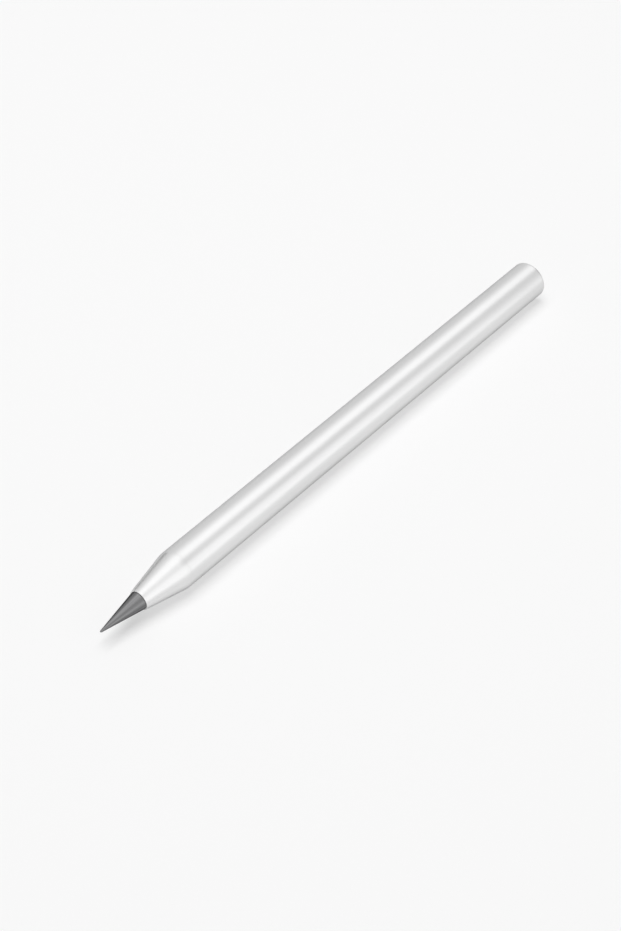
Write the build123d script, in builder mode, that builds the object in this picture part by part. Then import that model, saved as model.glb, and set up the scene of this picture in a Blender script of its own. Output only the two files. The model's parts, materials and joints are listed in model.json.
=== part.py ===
"""Inkless metal pencil: an aluminium tube with a turned nose, a screw-in graphite alloy tip and an end plug.

The pencil lies on its side along X, with its point towards -X and its flat end towards +X. The origin is
on the surface that it lies on, under the middle of its length. All sizes are in millimetres.
"""

import os

from build123d import *

# Barrel: a plain drawn tube
BARREL_DIAMETER = 9.0
BARREL_WALL = 1.0
BARREL_LENGTH = 122.5
BARREL_END_ROUNDING = 0.6
BARREL_MOUTH_CHAMFER = 0.15

# Nose: a short land flush with the barrel, a turned cone, and a spigot that is bonded into the barrel
NOSE_LENGTH = 11.5
NOSE_LAND_LENGTH = 1.0
NOSE_SHOULDER_ROUNDING = 5.0
NOSE_FRONT_DIAMETER = 4.75
NOSE_RIM_ROUNDING = 0.12
NOSE_SPIGOT_LENGTH = 9.0
NOSE_SPIGOT_WALL = 1.0
NOSE_TAPPED_LENGTH = 7.0
NOSE_DRILL_ANGLE = 118.0

# Writing tip: a solid graphite alloy cone, bonded to the stud that screws into the nose
TIP_LENGTH = 11.0
TIP_BASE_DIAMETER = 4.3
TIP_BASE_ROUNDING = 0.08
TIP_POINT_DIAMETER = 0.4
TIP_POINT_ROUNDING = 0.18

# Stud: shank in the tip, relieved neck under the ring, and the thread, drawn at its outside diameter
STUD_SHANK_DIAMETER = 1.8
STUD_SHANK_LENGTH = 3.8
STUD_THREAD_DIAMETER = 3.0
STUD_THREAD_LENGTH = 5.0
STUD_NECK_DIAMETER = 2.2
STUD_NECK_LENGTH = 0.8
STUD_END_CHAMFER = 0.35

# Seal ring: round cord, squeezed to the depth of its seat when the tip is screwed home
RING_CORD_DIAMETER = 0.6
RING_SEAT_DEPTH = 0.5

# End plug: a turned cup, bonded flush into the back of the barrel
PLUG_LENGTH = 8.0
PLUG_WALL = 1.0
PLUG_FACE_THICKNESS = 2.0
PLUG_RIM_CHAMFER = 0.15

# Bonded spigots: lead-in at the inner end, and shallow grooves that hold the adhesive
LEAD_IN_CHAMFER = 0.4
BOND_GROOVE_COUNT = 2
BOND_GROOVE_WIDTH = 0.8
BOND_GROOVE_DEPTH = 0.2

# Clearances: on the radius, round the ring's section, and past the end of the shank
BOND_GAP = 0.02
THREAD_CLEARANCE = 0.03
RING_CLEARANCE = 0.02
SOCKET_END_GAP = 0.2

# Edge break on both sides of the seam between barrel and nose
SEAM_EDGE_BREAK = 0.02

# Radii that follow from the sizes above
BARREL_RADIUS = BARREL_DIAMETER / 2
BORE_RADIUS = BARREL_RADIUS - BARREL_WALL
SPIGOT_RADIUS = BORE_RADIUS - BOND_GAP
TAPPED_RADIUS = STUD_THREAD_DIAMETER / 2 + THREAD_CLEARANCE
RING_INNER_RADIUS = STUD_NECK_DIAMETER / 2 + RING_CLEARANCE
RING_HEIGHT = RING_SEAT_DEPTH - 2 * RING_CLEARANCE
# The squeezed section keeps the area of the round cord
RING_WIDTH = RING_CORD_DIAMETER**2 / RING_HEIGHT
RING_SEAT_RADIUS = RING_INNER_RADIUS + RING_WIDTH + RING_CLEARANCE

# Stations along X, from the flat end to the point
REAR_X = (BARREL_LENGTH + NOSE_LENGTH + TIP_LENGTH) / 2
PLUG_FRONT_X = REAR_X - PLUG_LENGTH
SEAM_X = REAR_X - BARREL_LENGTH
SPIGOT_END_X = SEAM_X + NOSE_SPIGOT_LENGTH
SHOULDER_X = SEAM_X - NOSE_LAND_LENGTH
NOSE_FRONT_X = SEAM_X - NOSE_LENGTH
POINT_X = NOSE_FRONT_X - TIP_LENGTH

# The pencil's axis, the lengthwise section through it, and the planes across it where holes start
AXIS_HEIGHT = BARREL_RADIUS
PENCIL_AXIS = Axis((0, 0, AXIS_HEIGHT), (1, 0, 0))
SECTION = Plane(origin=(0, 0, AXIS_HEIGHT), x_dir=(1, 0, 0), z_dir=(0, -1, 0))
REAR_FACE = Plane(origin=(REAR_X, 0, AXIS_HEIGHT), z_dir=(1, 0, 0))
PLUG_MOUTH = Plane(origin=(PLUG_FRONT_X, 0, AXIS_HEIGHT), z_dir=(-1, 0, 0))
TIP_SEAT = Plane(origin=(NOSE_FRONT_X, 0, AXIS_HEIGHT), z_dir=(-1, 0, 0))
TIP_BASE = Plane(origin=(NOSE_FRONT_X, 0, AXIS_HEIGHT), z_dir=(1, 0, 0))
NOSE_CORE_FLOOR = TIP_BASE.offset(NOSE_TAPPED_LENGTH)


def bond_grooves(start_x, length):
    """Evenly spaced rings, in section, that cut the adhesive grooves into a spigot of this length."""
    pitch = length / (BOND_GROOVE_COUNT + 1)
    with BuildSketch(SECTION) as rings:
        for number in range(1, BOND_GROOVE_COUNT + 1):
            with Locations((start_x + number * pitch, SPIGOT_RADIUS)):
                Rectangle(BOND_GROOVE_WIDTH, 2 * BOND_GROOVE_DEPTH)
    return rings.sketch


# Barrel tube, rounded at its flat end and eased inside both mouths
with BuildPart() as barrel:
    with BuildSketch(REAR_FACE):
        Circle(BARREL_RADIUS)
        Circle(BORE_RADIUS, mode=Mode.SUBTRACT)
    extrude(amount=-BARREL_LENGTH)
    front_rims = barrel.edges().group_by(Axis.X)[0].sort_by(SortBy.RADIUS)
    rear_rims = barrel.edges().group_by(Axis.X)[-1].sort_by(SortBy.RADIUS)
    fillet(rear_rims[-1], BARREL_END_ROUNDING)
    chamfer([front_rims[0], rear_rims[0]], BARREL_MOUTH_CHAMFER)
    chamfer(front_rims[-1], SEAM_EDGE_BREAK)

# End plug, a cup with its closed face flush with the end of the barrel
with BuildPart() as end_plug:
    with BuildSketch(REAR_FACE):
        Circle(SPIGOT_RADIUS)
    extrude(amount=-PLUG_LENGTH)
    chamfer(end_plug.edges().group_by(Axis.X)[0], LEAD_IN_CHAMFER)
    chamfer(end_plug.edges().group_by(Axis.X)[-1], PLUG_RIM_CHAMFER)
    with Locations(PLUG_MOUTH):
        Hole(SPIGOT_RADIUS - PLUG_WALL, PLUG_LENGTH - PLUG_FACE_THICKNESS)
    revolve(bond_grooves(PLUG_FRONT_X, PLUG_LENGTH), axis=PENCIL_AXIS, mode=Mode.SUBTRACT)

# Nose cone with its spigot, drilled from the back, tapped for the stud, and recessed for the seal ring
with BuildPart() as nose_cone:
    with BuildSketch(SECTION):
        with BuildLine():
            Polyline(
                (NOSE_FRONT_X, 0),
                (NOSE_FRONT_X, NOSE_FRONT_DIAMETER / 2),
                (SHOULDER_X, BARREL_RADIUS),
                (SEAM_X, BARREL_RADIUS),
                (SEAM_X, SPIGOT_RADIUS),
                (SPIGOT_END_X, SPIGOT_RADIUS),
                (SPIGOT_END_X, 0),
                close=True,
            )
        make_face()
    revolve(axis=PENCIL_AXIS)
    chamfer(nose_cone.edges().group_by(Axis.X)[-1], LEAD_IN_CHAMFER)
    fillet(nose_cone.edges().group_by(Axis.X)[0], NOSE_RIM_ROUNDING)
    shoulder, seam = nose_cone.edges().filter_by(GeomType.CIRCLE).group_by(SortBy.RADIUS)[-1].sort_by(Axis.X)
    fillet(shoulder, NOSE_SHOULDER_ROUNDING)
    chamfer(seam, SEAM_EDGE_BREAK)
    with Locations(NOSE_CORE_FLOOR):
        CounterSinkHole(TAPPED_RADIUS, SPIGOT_RADIUS - NOSE_SPIGOT_WALL, counter_sink_angle=NOSE_DRILL_ANGLE)
    with Locations(TIP_SEAT):
        Hole(RING_SEAT_RADIUS, RING_SEAT_DEPTH)
    revolve(bond_grooves(SEAM_X, NOSE_SPIGOT_LENGTH), axis=PENCIL_AXIS, mode=Mode.SUBTRACT)

# Stud, from its shank inside the tip to the end of its thread inside the nose
with BuildPart() as tip_stud:
    with BuildSketch(TIP_SEAT):
        Circle(STUD_SHANK_DIAMETER / 2)
    extrude(amount=STUD_SHANK_LENGTH)
    with BuildSketch(TIP_BASE):
        Circle(STUD_NECK_DIAMETER / 2)
    extrude(amount=STUD_NECK_LENGTH)
    with BuildSketch(TIP_BASE.offset(STUD_NECK_LENGTH)):
        Circle(STUD_THREAD_DIAMETER / 2)
    extrude(amount=STUD_THREAD_LENGTH)
    chamfer(tip_stud.edges().group_by(Axis.X)[-1], STUD_END_CHAMFER)

# Seal ring in its seat round the neck of the stud
with BuildPart() as tip_seal_ring:
    with BuildSketch(SECTION):
        with Locations((NOSE_FRONT_X + RING_SEAT_DEPTH / 2, RING_INNER_RADIUS + RING_WIDTH / 2)):
            Ellipse(RING_HEIGHT / 2, RING_WIDTH / 2)
    revolve(axis=PENCIL_AXIS)

# Writing tip, seated on the front of the nose, with the socket that its stud is bonded into
with BuildPart() as writing_tip:
    with BuildSketch(SECTION):
        with BuildLine():
            Polyline(
                (POINT_X, 0),
                (POINT_X, TIP_POINT_DIAMETER / 2),
                (NOSE_FRONT_X, TIP_BASE_DIAMETER / 2),
                (NOSE_FRONT_X, 0),
                close=True,
            )
        make_face()
    revolve(axis=PENCIL_AXIS)
    fillet(writing_tip.edges().group_by(Axis.X)[0], TIP_POINT_ROUNDING)
    fillet(writing_tip.edges().group_by(Axis.X)[-1], TIP_BASE_ROUNDING)
    with Locations(TIP_BASE):
        Hole(STUD_SHANK_DIAMETER / 2 + BOND_GAP, STUD_SHANK_LENGTH + SOCKET_END_GAP)

PIECES = {
    "barrel": barrel,
    "end_plug": end_plug,
    "nose_cone": nose_cone,
    "tip_stud": tip_stud,
    "tip_seal_ring": tip_seal_ring,
    "writing_tip": writing_tip,
}

os.makedirs("parts", exist_ok=True)
for name, piece in PIECES.items():
    piece.part.label = name
    export_step(piece.part, f"parts/{name}.step")
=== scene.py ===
"""Studio scene of an inkless metal pencil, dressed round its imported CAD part.

The pencil lies along X on the floor plane, with its point towards -X, its flat end towards +X and Z up. Its
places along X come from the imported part. The classes hold their other sizes in millimetres, and the meshes
are made in metres, in the part's own frame.
"""

import json
import logging
import math
from collections.abc import Mapping, Sequence
from dataclasses import dataclass, field
from enum import Enum

import bmesh
import bpy
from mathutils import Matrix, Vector


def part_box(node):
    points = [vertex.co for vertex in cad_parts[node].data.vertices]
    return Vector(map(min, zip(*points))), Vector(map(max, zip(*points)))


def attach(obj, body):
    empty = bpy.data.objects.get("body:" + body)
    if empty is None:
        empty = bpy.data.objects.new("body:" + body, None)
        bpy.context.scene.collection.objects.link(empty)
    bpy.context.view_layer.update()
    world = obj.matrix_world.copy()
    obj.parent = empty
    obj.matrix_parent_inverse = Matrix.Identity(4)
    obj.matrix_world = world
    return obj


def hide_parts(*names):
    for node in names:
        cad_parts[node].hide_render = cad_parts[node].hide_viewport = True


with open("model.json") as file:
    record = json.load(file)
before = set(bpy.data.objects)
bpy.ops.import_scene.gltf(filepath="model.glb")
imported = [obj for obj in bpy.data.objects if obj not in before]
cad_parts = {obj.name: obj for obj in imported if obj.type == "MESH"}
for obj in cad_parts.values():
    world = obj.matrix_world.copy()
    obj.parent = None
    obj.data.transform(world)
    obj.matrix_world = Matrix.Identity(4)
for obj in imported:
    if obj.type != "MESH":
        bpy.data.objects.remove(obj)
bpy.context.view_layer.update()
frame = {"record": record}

LOG = logging.getLogger("pencil")
MM = 0.001

Outline = list[tuple[float, float]]
Tree = bpy.types.NodeTree
Socket = bpy.types.NodeSocket

# Turned meshes: sides round the axis, steps in a rounded corner, and sides of the seal ring's section
LATHE_STEPS = 192
ROUNDING_STEPS = 8
RING_STEPS = 32
# A straight run of an outline that is a long one has a support point this far from each of its ends
LONG_RUN_MM = 0.4
SUPPORT_MM = 0.1
# Rows of faces on each flat and each flank of a thread
FLAT_ROWS = 2
FLANK_ROWS = 4
# Points closer than this are welded, and an edge sharper than this angle shades sharp
WELD_M = 1e-7
SHARP_DEG = 35.0

# Layers of finer and finer detail in the noise of a grain, a patch, a streak or ring, and a card's tooth
GRAIN_NOISE = {"Detail": 3.0, "Roughness": 0.55}
PATCH_NOISE = {"Detail": 4.0, "Roughness": 0.6}
STREAK_NOISE = {"Detail": 2.0}
TOOTH_NOISE = {"Detail": 3.0}
# Nearly all of a noise lies between these values
NOISE_LOW = 0.25
NOISE_HIGH = 0.75
# Sockets of a Mix node for colours: share of the second colour, the two colours, and the result
MIX_SHARE = 0
MIX_FIRST = 6
MIX_SECOND = 7
MIX_RESULT = 2
# Watts for each square metre of a lamp whose face has a radiance of 1
LAMP_WATTS = 4.0


def in_mm(metres: float) -> float:
    """Turns a size of the frame into whole hundredths of a millimetre, free of its rounding noise."""
    return round(metres / MM, 2)


# Sizes that pieces share. The barrel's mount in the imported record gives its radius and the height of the
# axis. The tip's coupling, in radians of turn for each metre that it moves out, gives the thread's pitch
BARREL_MOUNT = next(mount for mount in frame["record"]["mounts"] if mount["name"] == "barrel_outside")
TIP_COUPLING = frame["record"]["behaviour"]["couplings"][0]
AXIS_HEIGHT_MM = in_mm(BARREL_MOUNT["pos_m"][2])
BARREL_RADIUS_MM = BARREL_MOUNT["dims"]["r_mm"]
BARREL_WALL_MM = 1.0
BOND_GAP_MM = 0.02
SEAM_BREAK_MM = 0.02
TIP_BASE_RADIUS_MM = 2.15
THREAD_PITCH_MM = in_mm(2 * math.pi / TIP_COUPLING["ratio"])


class Body(Enum):
    """Bodies of the CAD part that the pieces ride on."""

    PENCIL = "pencil"
    SEAL_RING = "seal_ring"
    TIP = "tip"


class Slot(Enum):
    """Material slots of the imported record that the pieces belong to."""

    ALUMINIUM = "anodised_aluminium"
    GRAPHITE = "graphite_alloy"
    BRASS = "turned_brass"
    RUBBER = "moulded_rubber"


class ThreadSide(Enum):
    """The two sides of a screw thread."""

    STUD = "stud"
    BORE = "bore"


class Facing(Enum):
    """Directions that a lamp or a flag can face."""

    DOWN = (0.0, 0.0, -1.0)
    TO_BACK = (0.0, 1.0, 0.0)
    TO_FRONT = (0.0, -1.0, 0.0)
    TO_FLAT_END = (1.0, 0.0, 0.0)
    TO_POINT = (-1.0, 0.0, 0.0)


def linear(hex_colour: str) -> tuple[float, float, float, float]:
    """Turns an sRGB hex colour into linear light.

    Args:
        hex_colour: Colour as "#RRGGBB".

    Returns:
        Linear red, green and blue, and an alpha of 1.
    """
    parts = [int(hex_colour[i : i + 2], 16) / 255 for i in (1, 3, 5)]
    r, g, b = (p / 12.92 if p <= 0.04045 else ((p + 0.055) / 1.055) ** 2.4 for p in parts)
    return r, g, b, 1.0


def per_metre(size_mm: float) -> float:
    """Works out the texture scale at which one feature of a pattern measures this many millimetres."""
    return 1 / (size_mm * MM)


def bare_tree(owner: bpy.types.Material | bpy.types.World) -> Tree:
    """Gives a material or a world an empty tree of nodes.

    Args:
        owner: Material or world.

    Returns:
        Its tree.
    """
    owner.use_nodes = True
    owner.node_tree.nodes.clear()
    return owner.node_tree


def add_node(
    tree: Tree,
    kind: str,
    settings: Mapping[str | int, object],
    links: Mapping[str | int, Socket],
) -> bpy.types.Node:
    """Adds a node to a tree with its settings and links.

    Args:
        tree: Tree that takes the node.
        kind: Blender's name for the kind of node.
        settings: Values by name: a property where the node has one of that name, or else an input socket.
        links: Output sockets of other nodes, by the input socket that each one feeds.

    Returns:
        The new node.
    """
    node = tree.nodes.new(kind)
    for name, value in settings.items():
        if isinstance(name, str) and hasattr(node, name):
            setattr(node, name, value)
        else:
            node.inputs[name].default_value = value
    for name, source in links.items():
        tree.links.new(source, node.inputs[name])
    return node


def seen_rays(tree: Tree) -> Socket:
    """Tells the rays that make the picture, also by way of metal and glass, from those that only light it.

    Args:
        tree: Tree of the material or the world.

    Returns:
        Socket that is 1 for a ray of the picture and 0 for any other.
    """
    path = add_node(tree, "ShaderNodeLightPath", {}, {}).outputs
    either = {"operation": "MAXIMUM"}
    sharp = {0: path["Is Camera Ray"], 1: path["Is Glossy Ray"]}
    seen = add_node(tree, "ShaderNodeMath", either, sharp).outputs[0]
    return add_node(tree, "ShaderNodeMath", either, {0: seen, 1: path["Is Transmission Ray"]}).outputs[0]


@dataclass(frozen=True)
class Finish:
    """A solid material with a fine surface grain and a broad, faint unevenness.

    Attributes:
        name: Material name: what it is and how its surface was made.
        light: Lighter of its two sRGB colours.
        dark: Darker of its two sRGB colours.
        smooth: Roughness where the surface is smoothest.
        rough: Roughness where the surface is roughest.
        grain_mm: Width of the grain.
        relief_mm: Height of the grain.
        patch_mm: Size of the broad patches that the two colours make.
        metallic: 1 for a metal and 0 for anything else.
        edge_tint: Colour of a metal's reflection at a grazing angle.
    """

    name: str
    light: str
    dark: str
    smooth: float
    rough: float
    grain_mm: float
    relief_mm: float
    patch_mm: float
    metallic: float = 1.0
    edge_tint: str = "#FFFFFF"

    def patches(self, tree: Tree, place: Socket) -> Socket:
        """Draws the broad patches, which are even in all directions.

        Args:
            tree: Tree of the material.
            place: Position on the piece, in metres.

        Returns:
            Socket with the share of the lighter colour, from 0 to 1.
        """
        settings = {"Scale": per_metre(self.patch_mm), **PATCH_NOISE}
        return add_node(tree, "ShaderNodeTexNoise", settings, {"Vector": place}).outputs["Fac"]

    def grain(self, tree: Tree, place: Socket) -> Socket:
        """Draws the grain, which is even in all directions.

        Args:
            tree: Tree of the material.
            place: Position on the piece, in metres.

        Returns:
            Socket with the grain's height, from 0 to 1.
        """
        settings = {"Scale": per_metre(self.grain_mm), **GRAIN_NOISE}
        return add_node(tree, "ShaderNodeTexNoise", settings, {"Vector": place}).outputs["Fac"]

    def material(self) -> bpy.types.Material:
        """Makes the material, or returns it where it has been made before.

        Returns:
            The finished material.
        """
        found = bpy.data.materials.get(self.name)
        if found is not None:
            return found
        made = bpy.data.materials.new(self.name)
        tree = bare_tree(made)
        place = add_node(tree, "ShaderNodeTexCoord", {}, {}).outputs["Object"]
        grain = self.grain(tree, place)
        tint_settings = {"data_type": "RGBA", MIX_FIRST: linear(self.dark), MIX_SECOND: linear(self.light)}
        tint_links = {MIX_SHARE: self.patches(tree, place)}
        tint = add_node(tree, "ShaderNodeMix", tint_settings, tint_links).outputs[MIX_RESULT]
        gloss_settings = {
            "From Min": NOISE_LOW,
            "From Max": NOISE_HIGH,
            "To Min": self.smooth,
            "To Max": self.rough,
        }
        gloss = add_node(tree, "ShaderNodeMapRange", gloss_settings, {"Value": grain}).outputs["Result"]
        bump_settings = {"Strength": 1.0, "Distance": self.relief_mm * MM}
        bump = add_node(tree, "ShaderNodeBump", bump_settings, {"Height": grain}).outputs["Normal"]
        shader = add_node(
            tree,
            "ShaderNodeBsdfPrincipled",
            {"Metallic": self.metallic, "Specular Tint": linear(self.edge_tint)},
            {"Base Color": tint, "Roughness": gloss, "Normal": bump},
        )
        add_node(tree, "ShaderNodeOutputMaterial", {}, {"Surface": shader.outputs["BSDF"]})
        return made


@dataclass(frozen=True)
class TurnedFinish(Finish):
    """A finish whose grain is the fine rings that a lathe tool leaves round the axis."""

    def grain(self, tree: Tree, place: Socket) -> Socket:
        """Draws the tool's rings, which vary along the axis only.

        Args:
            tree: Tree of the material.
            place: Position on the piece, in metres.

        Returns:
            Socket with the rings' height, from 0 to 1.
        """
        along = add_node(tree, "ShaderNodeSeparateXYZ", {}, {"Vector": place}).outputs["X"]
        settings = {"noise_dimensions": "1D", "Scale": per_metre(self.grain_mm), **STREAK_NOISE}
        return add_node(tree, "ShaderNodeTexNoise", settings, {"W": along}).outputs["Fac"]


@dataclass(frozen=True)
class ReflectionStreakFinish(TurnedFinish):
    """A turned finish with painted reflection: light and dark streaks along the cone, from its base to its
    point.

    Attributes:
        base_radius_mm: Radius of the cone's base, where a streak is as wide as a patch.
        seed: Choice among the patterns that the streaks can make, the one that lays the painted reflection
            bands.
    """

    base_radius_mm: float = 1.0
    seed: float = 0.0

    def patches(self, tree: Tree, place: Socket) -> Socket:
        """Draws the streaks of painted reflection, which vary round the axis only and so narrow towards the
        point.

        Args:
            tree: Tree of the material.
            place: Position on the piece, in metres.

        Returns:
            Socket with the share of the lighter colour, from 0 to 1.
        """
        to_axis = {"operation": "SUBTRACT", 1: (0.0, 0.0, AXIS_HEIGHT_MM * MM)}
        centred = add_node(tree, "ShaderNodeVectorMath", to_axis, {0: place}).outputs["Vector"]
        flatten = {"operation": "MULTIPLY", 1: (0.0, 1.0, 1.0)}
        across = add_node(tree, "ShaderNodeVectorMath", flatten, {0: centred}).outputs["Vector"]
        to_unit = {"operation": "NORMALIZE"}
        way = add_node(tree, "ShaderNodeVectorMath", to_unit, {0: across}).outputs["Vector"]
        scale = self.base_radius_mm / self.patch_mm
        settings = {"noise_dimensions": "4D", "W": self.seed, "Scale": scale, **STREAK_NOISE}
        return add_node(tree, "ShaderNodeTexNoise", settings, {"Vector": way}).outputs["Fac"]


# Bead blasted and clear anodised aluminium: a pale satin silver that spreads a reflection into a soft band.
# The beads leave dimples of about 0.05 mm, drawn at 0.3 mm so that they show
BLASTED_ALUMINIUM = Finish(
    name="aluminium_bead_blasted_clear_anodised",
    light="#E6E6E6",
    dark="#E0E0E0",
    smooth=0.30,
    rough=0.36,
    grain_mm=0.3,
    relief_mm=0.002,
    patch_mm=15.0,
    edge_tint="#C6C6C6",
)
# Turned graphite alloy: a dark grey metal with a pencil-lead sheen. Its light and dark streaks from base to
# point are painted reflection bands. The tool's feed is about 0.05 mm, drawn at 0.2 mm so that its rings show
GRAPHITE_ALLOY = ReflectionStreakFinish(
    name="graphite_alloy_turned_painted_reflection_streaks",
    light="#9F9FA0",
    dark="#474748",
    smooth=0.16,
    rough=0.24,
    grain_mm=0.2,
    relief_mm=0.003,
    patch_mm=0.7,
    edge_tint="#707070",
    base_radius_mm=TIP_BASE_RADIUS_MM,
    # The seed puts the light streaks and the dark ones where the tip's reflection bands fall: painted
    # reflection
    seed=39.925,
)
# Turned brass: warm, bright and finely ringed. The tool's feed is about 0.05 mm, drawn at 0.12 mm so that its
# rings show
TURNED_BRASS = TurnedFinish(
    name="brass_turned",
    light="#E6CC92",
    dark="#D8BA7C",
    smooth=0.2,
    rough=0.3,
    grain_mm=0.12,
    relief_mm=0.002,
    patch_mm=1.5,
)
# Moulded nitrile rubber: black with a matt bloom
MOULDED_RUBBER = Finish(
    name="nitrile_rubber_moulded",
    light="#242425",
    dark="#171718",
    smooth=0.6,
    rough=0.78,
    grain_mm=0.06,
    relief_mm=0.003,
    patch_mm=0.8,
    metallic=0.0,
)


@dataclass(frozen=True)
class LitCard:
    """Matt card for the floor and the flags: no gloss, and a tooth too faint to see as a pattern.

    Attributes:
        name: Material name.
        light: Lighter of its two sRGB colours.
        dark: Darker of its two sRGB colours.
        tooth_mm: Size of the card's tooth.
        white: Colour of the white that the picture and the metal see in it.
        white_near: Share of that white near the pencil. The rest is the card with the pencil's soft shadow.
        white_far: Share of that white far from the pencil.
        near_and_far: Distances from the pencil where the one share ends and the other begins, in metres.
    """

    name: str = "card_matt_white"
    light: str = "#F0F0F0"
    dark: str = "#EEEEEE"
    tooth_mm: float = 0.6
    white: str = "#FAFAFA"
    white_near: float = 0.5
    white_far: float = 1.0
    near_and_far: tuple[float, float] = (0.25, 0.8)

    def material(self) -> bpy.types.Material:
        """Makes the material.

        Returns:
            The finished material.
        """
        made = bpy.data.materials.new(self.name)
        tree = bare_tree(made)
        place = add_node(tree, "ShaderNodeTexCoord", {}, {}).outputs["Object"]
        tooth_settings = {"Scale": per_metre(self.tooth_mm), **TOOTH_NOISE}
        tooth = add_node(tree, "ShaderNodeTexNoise", tooth_settings, {"Vector": place}).outputs["Fac"]
        tint_settings = {"data_type": "RGBA", MIX_FIRST: linear(self.dark), MIX_SECOND: linear(self.light)}
        tint = add_node(tree, "ShaderNodeMix", tint_settings, {MIX_SHARE: tooth}).outputs[MIX_RESULT]
        card = add_node(tree, "ShaderNodeBsdfDiffuse", {}, {"Color": tint}).outputs["BSDF"]
        white = add_node(tree, "ShaderNodeEmission", {"Color": linear(self.white)}, {}).outputs["Emission"]
        away = add_node(tree, "ShaderNodeVectorMath", {"operation": "LENGTH"}, {0: place}).outputs["Value"]
        near, far = self.near_and_far
        fade_settings = {
            "From Min": near,
            "From Max": far,
            "To Min": self.white_near,
            "To Max": self.white_far,
        }
        fade = add_node(tree, "ShaderNodeMapRange", fade_settings, {"Value": away}).outputs["Result"]
        shares = {0: fade, 1: seen_rays(tree)}
        share = add_node(tree, "ShaderNodeMath", {"operation": "MULTIPLY"}, shares).outputs[0]
        mixed = add_node(tree, "ShaderNodeMixShader", {}, {0: share, 1: card, 2: white}).outputs["Shader"]
        add_node(tree, "ShaderNodeOutputMaterial", {}, {"Surface": mixed})
        return made


@dataclass(frozen=True)
class Span:
    """Stretch of the pencil's axis that a piece takes up.

    Attributes:
        front: Its end towards the point, in mm.
        back: Its end towards the flat end, in mm.
    """

    front: float
    back: float

    @classmethod
    def of(cls, node: str) -> "Span":
        """Reads the stretch that a CAD node takes up.

        Args:
            node: Name of the node.

        Returns:
            Its stretch of the axis.
        """
        low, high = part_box(node)
        return cls(in_mm(low.x), in_mm(high.x))

    @property
    def length(self) -> float:
        """Distance between the two ends, in mm."""
        return self.back - self.front


@dataclass(frozen=True)
class Corner:
    """One corner of a turned outline.

    Attributes:
        x: Place along the pencil's axis, in mm.
        r: Distance from the axis, in mm.
        rounding: Radius of the corner's rounding, in mm, or 0 where it is sharp.
    """

    x: float
    r: float
    rounding: float = 0.0


def rounded(before: Corner, corner: Corner, after: Corner) -> Outline:
    """Draws one corner of an outline.

    Args:
        before: Corner before it.
        corner: Corner to draw.
        after: Corner after it.

    Returns:
        The corner's own point, or the points of its arc.
    """
    tip = Vector((corner.x, corner.r))
    if corner.rounding == 0:
        return [tuple(tip)]
    back = (Vector((before.x, before.r)) - tip).normalized()
    on = (Vector((after.x, after.r)) - tip).normalized()
    half = back.angle(on) / 2
    reach = corner.rounding / math.tan(half)
    centre = tip + (back + on).normalized() * (corner.rounding / math.sin(half))
    first = (tip + back * reach - centre).normalized()
    last = (tip + on * reach - centre).normalized()
    steps = [k / ROUNDING_STEPS for k in range(ROUNDING_STEPS + 1)]
    return [tuple(centre + first.slerp(last, share) * corner.rounding) for share in steps]


def outlined(corners: Sequence[Corner]) -> Outline:
    """Draws an open outline through its corners, which keeps straight runs flat in their shading.

    Args:
        corners: Corners in order. The first and the last are sharp.

    Returns:
        Points of the outline in mm, with a support point near each end of every long run.
    """
    drawn = [(corners[0].x, corners[0].r)]
    for before, corner, after in zip(corners, corners[1:], corners[2:]):
        drawn += rounded(before, corner, after)
    drawn.append((corners[-1].x, corners[-1].r))
    supported = [drawn[0]]
    for start, end in zip(drawn, drawn[1:]):
        run = Vector(end) - Vector(start)
        if run.length > LONG_RUN_MM:
            step = run.normalized() * SUPPORT_MM
            supported += [tuple(Vector(start) + step), tuple(Vector(end) - step)]
        supported.append(end)
    return supported


def add_turned(bm: bmesh.types.BMesh, outline: Outline) -> None:
    """Turns an outline once round the pencil's axis.

    Args:
        bm: Mesh that takes the turned surface.
        outline: Points as place along the axis and distance from it, in mm.
    """
    verts = [bm.verts.new((x * MM, 0, (AXIS_HEIGHT_MM + r) * MM)) for x, r in outline]
    edges = [bm.edges.new(pair) for pair in zip(verts, verts[1:])]
    bmesh.ops.spin(
        bm,
        geom=verts + edges,
        cent=(0, 0, AXIS_HEIGHT_MM * MM),
        axis=(1, 0, 0),
        angle=2 * math.pi,
        steps=LATHE_STEPS,
        use_merge=True,
    )


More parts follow.
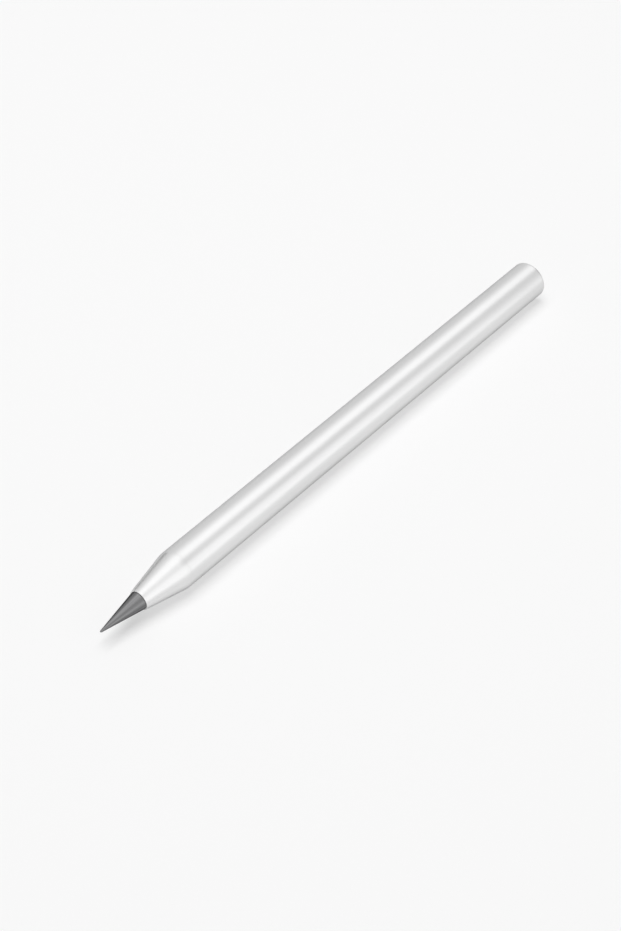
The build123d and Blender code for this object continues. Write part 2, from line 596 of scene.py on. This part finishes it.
@dataclass(frozen=True)
class Thread:
    """Right-hand metric thread that the stud and the nose share.

    Attributes:
        origin_x: Place along the axis where a crest starts, on the axis's +Y side, in mm.
        pitch: Advance in one turn, in mm.
        crest: Outside radius of the stud's thread, in mm.
        root: Root radius of the stud's thread, in mm.
        clearance: Gap between stud and bore, in mm.
        crest_share: Share of the pitch that the flat of the crest takes.
        root_share: Share of the pitch that the flat of the root takes.
    """

    origin_x: float
    pitch: float = THREAD_PITCH_MM
    crest: float = 1.5
    root: float = 1.22
    clearance: float = 0.03
    crest_share: float = 1 / 8
    root_share: float = 1 / 4

    @property
    def bore(self) -> float:
        """Largest radius of the bore's thread, in mm."""
        return self.crest + self.clearance

    def profile(self) -> Outline:
        """Draws one pitch of the stud's thread: crest, flank, root and flank.

        Returns:
            Points as share of the pitch and radius in mm.
        """
        flank_share = (1 - self.crest_share - self.root_share) / 2
        stretches = (
            (self.crest_share, self.crest, self.crest, FLAT_ROWS),
            (flank_share, self.crest, self.root, FLANK_ROWS),
            (self.root_share, self.root, self.root, FLAT_ROWS),
            (flank_share, self.root, self.crest, FLANK_ROWS),
        )
        points = []
        phase = 0.0
        for share, start, end, rows in stretches:
            points += [(phase + share * k / rows, start + (end - start) * k / rows) for k in range(rows)]
            phase += share
        return points

    def add_to(self, bm: bmesh.types.BMesh, side: ThreadSide, start: Corner, end: Corner) -> None:
        """Adds the thread between two rings, with rows of faces that follow the helix.

        Args:
            bm: Mesh that takes the thread.
            side: Whether it stands on a stud or is cut into a bore.
            start: Ring where the thread begins. Its lead-in rises from there at 45 degrees.
            end: Ring where the thread runs out, at 45 degrees too.
        """
        first = math.floor((start.x - self.origin_x) / self.pitch) - 1
        last = math.ceil((end.x - self.origin_x) / self.pitch) + 1
        points = []
        for turn in range(first, last + 1):
            points += [(turn + phase, height) for phase, height in self.profile()]
        rows = []
        for turn, height in points:
            row = []
            for step in range(LATHE_STEPS + 1):
                share = step / LATHE_STEPS
                x = self.origin_x + self.pitch * (turn + share)
                x = min(max(x, start.x), end.x)
                if side is ThreadSide.STUD:
                    r = min(height, start.r + x - start.x, end.r + end.x - x)
                else:
                    r = max(height + self.clearance, start.r - x + start.x, end.r - end.x + x)
                angle = 2 * math.pi * share
                y, z = r * math.cos(angle), AXIS_HEIGHT_MM + r * math.sin(angle)
                row.append(bm.verts.new((x * MM, y * MM, z * MM)))
            rows.append(row)
        for near, far in zip(rows, rows[1:]):
            for k in range(LATHE_STEPS):
                bm.faces.new((near[k], near[k + 1], far[k + 1], far[k]))


@dataclass(frozen=True)
class Spigot:
    """Hollow end of a piece that is bonded into the barrel, with grooves that hold the adhesive.

    Attributes:
        wall: Thickness of its wall, in mm.
        lead_in: Chamfer at its inner end, in mm.
        groove_count: Number of grooves.
        groove_width: Width of a groove, in mm.
        groove_depth: Depth of a groove, in mm.
    """

    wall: float = 1.0
    lead_in: float = 0.4
    groove_count: int = 2
    groove_width: float = 0.8
    groove_depth: float = 0.2

    @property
    def radius(self) -> float:
        """Outside radius, in mm."""
        return BARREL_RADIUS_MM - BARREL_WALL_MM - BOND_GAP_MM

    @property
    def core_radius(self) -> float:
        """Radius of the hollow, in mm."""
        return self.radius - self.wall

    def grooves(self, span: Span) -> list[Corner]:
        """Draws the grooves, evenly spaced.

        Args:
            span: Stretch of the axis that the spigot takes up.

        Returns:
            Corners of the grooves from front to back.
        """
        floor = self.radius - self.groove_depth
        corners = []
        for number in range(1, self.groove_count + 1):
            middle = span.front + number * span.length / (self.groove_count + 1)
            near, far = middle - self.groove_width / 2, middle + self.groove_width / 2
            edges = ((near, self.radius), (near, floor), (far, floor), (far, self.radius))
            corners += [Corner(x, r) for x, r in edges]
        return corners


@dataclass(frozen=True)
class ScrewJoint:
    """What the nose and the tip share where they meet: the neck, the seal ring in its seat and the thread.

    Attributes:
        face_x: Place along the axis where the tip sits on the nose, in mm.
        neck_radius: Radius of the stud's neck under the ring, in mm.
        neck_length: Length of the neck, in mm.
        cord: Thickness of the ring's round cord before it is squeezed, in mm.
        seat_depth: Depth of the ring's seat in the nose, in mm.
        ring_gap: Gap round the section of the ring in its seat, in mm.
    """

    face_x: float = Span.of("writing_tip").back
    neck_radius: float = 1.1
    neck_length: float = 0.8
    cord: float = 0.6
    seat_depth: float = 0.5
    ring_gap: float = 0.02

    @property
    def neck_end_x(self) -> float:
        """Place along the axis where the neck ends and the stud's thread begins, in mm."""
        return self.face_x + self.neck_length

    @property
    def thread(self) -> Thread:
        """Thread of the stud and of the nose's bore."""
        return Thread(self.neck_end_x)

    @property
    def ring_height(self) -> float:
        """Size of the squeezed ring's section along the axis, in mm."""
        return self.seat_depth - 2 * self.ring_gap

    @property
    def ring_width(self) -> float:
        """Size of the squeezed ring's section across the axis, in mm, which keeps the area of its cord."""
        return self.cord**2 / self.ring_height

    @property
    def ring_middle(self) -> float:
        """Radius of the middle of the ring's section, in mm."""
        return self.neck_radius + self.ring_gap + self.ring_width / 2

    @property
    def seat_radius(self) -> float:
        """Radius of the ring's seat, in mm."""
        return self.ring_middle + self.ring_width / 2 + self.ring_gap


@dataclass
class Piece:
    """One piece of the pencil, which stands for a CAD node.

    Attributes:
        node: CAD node that the piece replaces.
        body: CAD body that it rides on.
        slot: Material slot of the record that its finish belongs to. Not used.
        finish: What it is made of.
        mesh: Mesh in the making, in metres.
    """

    node: str
    body: Body
    slot: Slot
    finish: Finish
    mesh: bmesh.types.BMesh = field(default_factory=bmesh.new)

    def finish_mesh(self) -> bpy.types.Object:
        """Welds the mesh, shades it and puts it in the scene in the place of its node.

        Returns:
            The piece's object, still without its material.
        """
        bmesh.ops.remove_doubles(self.mesh, verts=self.mesh.verts, dist=WELD_M)
        bmesh.ops.recalc_face_normals(self.mesh, faces=self.mesh.faces)
        data = bpy.data.meshes.new(f"{self.node}_turned")
        self.mesh.to_mesh(data)
        self.mesh.free()
        data.shade_smooth()
        data.set_sharp_from_angle(angle=math.radians(SHARP_DEG))
        made = bpy.data.objects.new(f"{self.node}_turned", data)
        bpy.context.scene.collection.objects.link(made)
        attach(made, self.body.value)
        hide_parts(self.node)
        LOG.info("%s: %d faces", made.name, len(data.polygons))
        return made

    def dress(self, made: bpy.types.Object) -> None:
        """Gives the piece's object its finish."""
        made.data.materials.append(self.finish.material())


@dataclass
class BarrelAssembly:
    """The barrel tube and the plug that closes its back end.

    Attributes:
        tube: Stretch of the axis that the barrel takes up.
        end_rounding: Rounding of the barrel's flat end, in mm.
        mouth_chamfer: Chamfer inside the barrel's two ends, in mm.
        plug: Stretch of the axis that the plug takes up.
        plug_face: Thickness of the plug's closed face, in mm.
        plug_chamfer: Chamfer round that face, in mm.
        spigot: The plug's other sizes.
    """

    tube: Span = Span.of("barrel")
    end_rounding: float = 0.6
    mouth_chamfer: float = 0.15
    plug: Span = Span.of("end_plug")
    plug_face: float = 2.0
    plug_chamfer: float = 0.15
    spigot: Spigot = Spigot()

    def build_barrel(self) -> Piece:
        """Turns the tube, rounded at its flat end.

        Returns:
            The barrel's piece.
        """
        piece = Piece("barrel", Body.PENCIL, Slot.ALUMINIUM, BLASTED_ALUMINIUM)
        bore = BARREL_RADIUS_MM - BARREL_WALL_MM
        mouth = bore + self.mouth_chamfer
        corners = [
            Corner(self.tube.front, mouth),
            Corner(self.tube.front, BARREL_RADIUS_MM - SEAM_BREAK_MM),
            Corner(self.tube.front + SEAM_BREAK_MM, BARREL_RADIUS_MM),
            Corner(self.tube.back, BARREL_RADIUS_MM, self.end_rounding),
            Corner(self.tube.back, mouth),
            Corner(self.tube.back - self.mouth_chamfer, bore),
            Corner(self.tube.front + self.mouth_chamfer, bore),
            Corner(self.tube.front, mouth),
        ]
        add_turned(piece.mesh, outlined(corners))
        return piece

    def build_plug(self) -> Piece:
        """Turns the plug, a cup with its closed face flush with the barrel's end.

        Returns:
            The plug's piece.
        """
        piece = Piece("end_plug", Body.PENCIL, Slot.ALUMINIUM, BLASTED_ALUMINIUM)
        floor_x = self.plug.back - self.plug_face
        corners = [
            Corner(floor_x, 0),
            Corner(floor_x, self.spigot.core_radius),
            Corner(self.plug.front, self.spigot.core_radius),
            Corner(self.plug.front, self.spigot.radius - self.spigot.lead_in),
            Corner(self.plug.front + self.spigot.lead_in, self.spigot.radius),
            *self.spigot.grooves(self.plug),
            Corner(self.plug.back - self.plug_chamfer, self.spigot.radius),
            Corner(self.plug.back, self.spigot.radius - self.plug_chamfer),
            Corner(self.plug.back, 0),
        ]
        add_turned(piece.mesh, outlined(corners))
        return piece

    def build(self) -> None:
        """Builds and dresses the barrel and its plug."""
        for piece in (self.build_barrel(), self.build_plug()):
            piece.dress(piece.finish_mesh())


@dataclass
class NoseAssembly:
    """The nose cone with its spigot, its seat for the seal ring and its tapped bore.

    Attributes:
        nose: Stretch of the axis that the nose takes up, with its spigot.
        seam_x: Place along the axis of its seam with the barrel, in mm.
        land: Length of the land behind its shoulder, flush with the barrel, in mm.
        shoulder_rounding: Rounding of its shoulder, in mm.
        front_radius: Radius of its front end, in mm.
        rim_rounding: Rounding of its front end, in mm.
        tapped_length: Distance from its front end to the hollow of the spigot, in mm.
        drill_angle: Angle of the drill's point that leaves the floor of the hollow, in degrees.
        spigot: Sizes of the spigot.
        joint: Sizes that it shares with the tip.
    """

    nose: Span = Span.of("nose_cone")
    seam_x: float = Span.of("barrel").front
    land: float = 1.0
    shoulder_rounding: float = 5.0
    front_radius: float = 2.375
    rim_rounding: float = 0.12
    tapped_length: float = 7.0
    drill_angle: float = 118.0
    spigot: Spigot = Spigot()
    joint: ScrewJoint = ScrewJoint()

    def build_nose(self) -> Piece:
        """Turns the nose and cuts its thread.

        Returns:
            The nose's piece.
        """
        piece = Piece("nose_cone", Body.PENCIL, Slot.ALUMINIUM, BLASTED_ALUMINIUM)
        thread = self.joint.thread
        core = self.spigot.core_radius
        core_floor_x = self.nose.front + self.tapped_length
        drill_depth = (core - thread.bore) / math.tan(math.radians(self.drill_angle / 2))
        seat_x = self.nose.front + self.joint.seat_depth
        corners = [
            Corner(core_floor_x - drill_depth, thread.bore),
            Corner(core_floor_x, core),
            Corner(self.nose.back, core),
            Corner(self.nose.back, self.spigot.radius - self.spigot.lead_in),
            Corner(self.nose.back - self.spigot.lead_in, self.spigot.radius),
            *reversed(self.spigot.grooves(Span(self.seam_x, self.nose.back))),
            Corner(self.seam_x, self.spigot.radius),
            Corner(self.seam_x, BARREL_RADIUS_MM - SEAM_BREAK_MM),
            Corner(self.seam_x - SEAM_BREAK_MM, BARREL_RADIUS_MM),
            Corner(self.seam_x - self.land, BARREL_RADIUS_MM, self.shoulder_rounding),
            Corner(self.nose.front, self.front_radius, self.rim_rounding),
            Corner(self.nose.front, self.joint.seat_radius),
            Corner(seat_x, self.joint.seat_radius),
            Corner(seat_x, thread.bore),
        ]
        add_turned(piece.mesh, outlined(corners))
        thread.add_to(piece.mesh, ThreadSide.BORE, corners[-1], corners[0])
        return piece

    def build(self) -> None:
        """Builds and dresses the nose."""
        piece = self.build_nose()
        piece.dress(piece.finish_mesh())


@dataclass
class TipAssembly:
    """The writing tip with its threaded stud and its seal ring.

    Attributes:
        cone: Stretch of the axis that the writing tip takes up.
        base_rounding: Rounding of the tip's base, in mm.
        point_radius: Radius of the tip's point, in mm.
        point_rounding: Rounding of the tip's point, in mm.
        stud: Stretch of the axis that the stud takes up.
        shank_radius: Radius of the shank in the tip's socket, in mm.
        socket_end_gap: Gap past the end of the shank, in mm.
        stud_chamfer: Chamfer at the stud's inner end, in mm.
        joint: Sizes that the tip shares with the nose.
    """

    cone: Span = Span.of("writing_tip")
    base_rounding: float = 0.08
    point_radius: float = 0.2
    point_rounding: float = 0.18
    stud: Span = Span.of("tip_stud")
    shank_radius: float = 0.9
    socket_end_gap: float = 0.2
    stud_chamfer: float = 0.35
    joint: ScrewJoint = ScrewJoint()

    def build_tip(self) -> Piece:
        """Turns the writing tip, with the socket in its base.

        Returns:
            The writing tip's piece.
        """
        piece = Piece("writing_tip", Body.TIP, Slot.GRAPHITE, GRAPHITE_ALLOY)
        socket_radius = self.shank_radius + BOND_GAP_MM
        socket_x = self.stud.front - self.socket_end_gap
        corners = [
            Corner(self.cone.front, 0),
            Corner(self.cone.front, self.point_radius, self.point_rounding),
            Corner(self.cone.back, TIP_BASE_RADIUS_MM, self.base_rounding),
            Corner(self.cone.back, socket_radius),
            Corner(socket_x, socket_radius),
            Corner(socket_x, 0),
        ]
        add_turned(piece.mesh, outlined(corners))
        return piece

    def build_stud(self) -> Piece:
        """Turns the stud and cuts its thread.

        Returns:
            The stud's piece.
        """
        piece = Piece("tip_stud", Body.TIP, Slot.BRASS, TURNED_BRASS)
        thread = self.joint.thread
        front = [
            Corner(self.stud.front, 0),
            Corner(self.stud.front, self.shank_radius),
            Corner(self.joint.face_x, self.shank_radius),
            Corner(self.joint.face_x, self.joint.neck_radius),
            Corner(self.joint.neck_end_x, self.joint.neck_radius),
        ]
        back = [Corner(self.stud.back, thread.crest - self.stud_chamfer), Corner(self.stud.back, 0)]
        add_turned(piece.mesh, outlined(front))
        thread.add_to(piece.mesh, ThreadSide.STUD, front[-1], back[0])
        add_turned(piece.mesh, outlined(back))
        return piece

    def build_ring(self) -> Piece:
        """Turns the seal ring, squeezed to an oval section in its seat.

        Returns:
            The seal ring's piece.
        """
        piece = Piece("tip_seal_ring", Body.SEAL_RING, Slot.RUBBER, MOULDED_RUBBER)
        centre_x = self.joint.face_x + self.joint.seat_depth / 2
        oval = []
        for k in range(RING_STEPS + 1):
            turn = 2 * math.pi * k / RING_STEPS
            x = centre_x + self.joint.ring_height / 2 * math.cos(turn)
            r = self.joint.ring_middle + self.joint.ring_width / 2 * math.sin(turn)
            oval.append((x, r))
        add_turned(piece.mesh, oval)
        return piece

    def build(self) -> None:
        """Builds and dresses the tip, its stud and its ring."""
        for piece in (self.build_tip(), self.build_stud(), self.build_ring()):
            piece.dress(piece.finish_mesh())


def turn_to(made: bpy.types.Object, direction: Vector) -> None:
    """Turns a lamp or a camera to face in a direction."""
    made.rotation_mode = "QUATERNION"
    made.rotation_quaternion = direction.to_track_quat("-Z", "Y")


def add_card(name: str, corners: Sequence[Sequence[float]], card: LitCard) -> bpy.types.Object:
    """Adds a flat card to the stage.

    Args:
        name: Name of its object.
        corners: Its corners in order, in metres.
        card: What it is made of.

    Returns:
        The card's object.
    """
    data = bpy.data.meshes.new(name)
    data.from_pydata(corners, [], [tuple(range(len(corners)))])
    data.materials.append(card.material())
    made = bpy.data.objects.new(name, data)
    bpy.context.scene.collection.objects.link(made)
    return made


@dataclass(frozen=True)
class SoftBox:
    """A flat studio lamp.

    Attributes:
        name: Name of the lamp.
        centre: Place of its middle, in metres.
        facing: Direction that it faces.
        size: Its two sides, in metres.
        brightness: Radiance of its face, where 1 is the white of the picture.
        mirrored: Whether the metal shows it.
    """

    name: str
    centre: tuple[float, float, float]
    facing: Facing
    size: tuple[float, float]
    brightness: float
    mirrored: bool = True

    def build(self) -> None:
        """Hangs the lamp, out of the camera's sight."""
        lamp = bpy.data.lights.new(self.name, "AREA")
        lamp.shape = "RECTANGLE"
        lamp.size, lamp.size_y = self.size
        lamp.energy = LAMP_WATTS * math.prod(self.size) * self.brightness
        made = bpy.data.objects.new(self.name, lamp)
        made.location = self.centre
        turn_to(made, Vector(self.facing.value))
        made.visible_camera = False
        made.visible_glossy = self.mirrored
        bpy.context.scene.collection.objects.link(made)
        LOG.info("lamp %s: %.1f W", self.name, lamp.energy)


@dataclass(frozen=True)
class Flag:
    """A grey card that stands on the floor and darkens the edges that mirror it.

    Attributes:
        name: Name of the card.
        foot: Place of the middle of its lower edge, in metres.
        facing: Direction that it faces.
        width: Length of its lower edge, in metres.
        height: Its height, in metres.
        shade: Its sRGB grey.
    """

    name: str
    foot: tuple[float, float]
    facing: Facing
    width: float
    height: float
    shade: str

    def build(self) -> None:
        """Stands the card up where only the metal sees it."""
        foot = Vector((*self.foot, 0))
        rise = Vector((0, 0, self.height))
        across = rise.cross(Vector(self.facing.value)).normalized() * self.width / 2
        corners = [foot - across, foot + across, foot + across + rise, foot - across + rise]
        card = LitCard(f"card_matt_{self.name}", self.shade, self.shade, white_near=0.0, white_far=0.0)
        made = add_card(self.name, corners, card)
        made.visible_camera = False


@dataclass
class Studio:
    """The floor, the light and the camera.

    Attributes:
        floor_side: Side of the square floor, in metres.
        horizon: sRGB colour of the surround that shows low down.
        dome: sRGB colour of the surround that shows higher up.
        dome_starts: Heights between which the one turns to the other, where 0 is level and 1 straight up.
        ambient: sRGB colour of the light that the surround gives.
        camera_place: Where the camera stands, in metres.
        camera_aim: Point that it looks at, in metres.
        lens_mm: Focal length of its lens.
        sensor_mm: Longer side of its sensor.
        sight: Nearest and farthest distance that it sees, in metres.
        lamps: Lamps round the pencil.
        flags: Grey cards round the pencil.
    """

    floor_side: float = 12.0
    horizon: str = "#FAFAFA"
    dome: str = "#EAEAEA"
    dome_starts: tuple[float, float] = (0.05, 0.3)
    ambient: str = "#8C8C8C"
    camera_place: tuple[float, float, float] = (-0.242393, -0.200617, 0.310700)
    camera_aim: tuple[float, float, float] = (-0.0094436, -0.0012887, AXIS_HEIGHT_MM * MM)
    lens_mm: float = 77.43
    sensor_mm: float = 36.0
    sight: tuple[float, float] = (0.01, 50.0)
    lamps: tuple[SoftBox, ...] = (
        SoftBox("ceiling_scrim", (0.0, 0.12, 1.2), Facing.DOWN, (0.8, 0.8), 3.9, mirrored=False),
        SoftBox("overhead_softbox", (0.3, 0.16, 0.9), Facing.DOWN, (1.8, 0.68), 0.405),
        SoftBox("near_softbox", (-0.15, -0.45, 0.92), Facing.DOWN, (0.9, 0.7), 0.19),
        SoftBox("far_softbox", (0.6, 0.75, 0.9), Facing.DOWN, (1.4, 0.5), 0.14),
        SoftBox("front_softbox", (0.2, -1.0, 0.53), Facing.TO_BACK, (1.5, 1.06), 0.36),
        SoftBox("point_softbox", (-1.2, 0.0, 0.45), Facing.TO_FLAT_END, (0.4, 0.5), 0.35),
    )
    flags: tuple[Flag, ...] = (
        Flag("far_flag", (0.2, 1.3), Facing.TO_FRONT, 0.6, 0.3, "#808080"),
        Flag("end_flag", (1.5, -0.2), Facing.TO_POINT, 0.5, 0.6, "#3C3C3C"),
    )

    def build_floor(self) -> None:
        """Lays the matt white floor that the pencil rests on."""
        half = self.floor_side / 2
        corners = [(-half, -half, 0), (half, -half, 0), (half, half, 0), (-half, half, 0)]
        add_card("floor", corners, LitCard())

    def build_light(self) -> None:
        """Sets the pale surround, hangs the lamps and stands up the flags."""
        world = bpy.data.worlds.new("studio_surround")
        tree = bare_tree(world)
        way = add_node(tree, "ShaderNodeTexCoord", {}, {}).outputs["Generated"]
        height = add_node(tree, "ShaderNodeSeparateXYZ", {}, {"Vector": way}).outputs["Z"]
        low, high = self.dome_starts
        climb_settings = {"From Min": low, "From Max": high}
        climb = add_node(tree, "ShaderNodeMapRange", climb_settings, {"Value": height}).outputs["Result"]
        tint_settings = {"data_type": "RGBA", MIX_FIRST: linear(self.horizon), MIX_SECOND: linear(self.dome)}
        tint = add_node(tree, "ShaderNodeMix", tint_settings, {MIX_SHARE: climb}).outputs[MIX_RESULT]
        seen = add_node(tree, "ShaderNodeBackground", {}, {"Color": tint}).outputs["Background"]
        lighting = {"Color": linear(self.ambient)}
        ambient = add_node(tree, "ShaderNodeBackground", lighting, {}).outputs["Background"]
        shades = {0: seen_rays(tree), 1: ambient, 2: seen}
        mixed = add_node(tree, "ShaderNodeMixShader", {}, shades).outputs["Shader"]
        add_node(tree, "ShaderNodeOutputWorld", {}, {"Surface": mixed})
        bpy.context.scene.world = world
        for fitting in (*self.lamps, *self.flags):
            fitting.build()

    def build_camera(self) -> None:
        """Places the camera where the photograph was taken from."""
        lens = bpy.data.cameras.new("camera")
        lens.lens = self.lens_mm
        lens.sensor_width = self.sensor_mm
        lens.clip_start, lens.clip_end = self.sight
        camera = bpy.data.objects.new("camera", lens)
        camera.location = self.camera_place
        turn_to(camera, Vector(self.camera_aim) - Vector(self.camera_place))
        bpy.context.scene.collection.objects.link(camera)
        bpy.context.scene.camera = camera

    def build(self) -> None:
        """Builds the whole studio and sets the plain view transform."""
        self.build_floor()
        self.build_light()
        self.build_camera()
        bpy.context.scene.view_settings.view_transform = "Standard"


def main() -> None:
    """Builds the pencil's sub-assemblies and then the studio round them."""
    logging.basicConfig(level=logging.INFO, format="%(name)s: %(message)s")
    for part in (BarrelAssembly(), NoseAssembly(), TipAssembly(), Studio()):
        LOG.info("building %s", type(part).__name__)
        part.build()


if __name__ == "__main__":
    main()
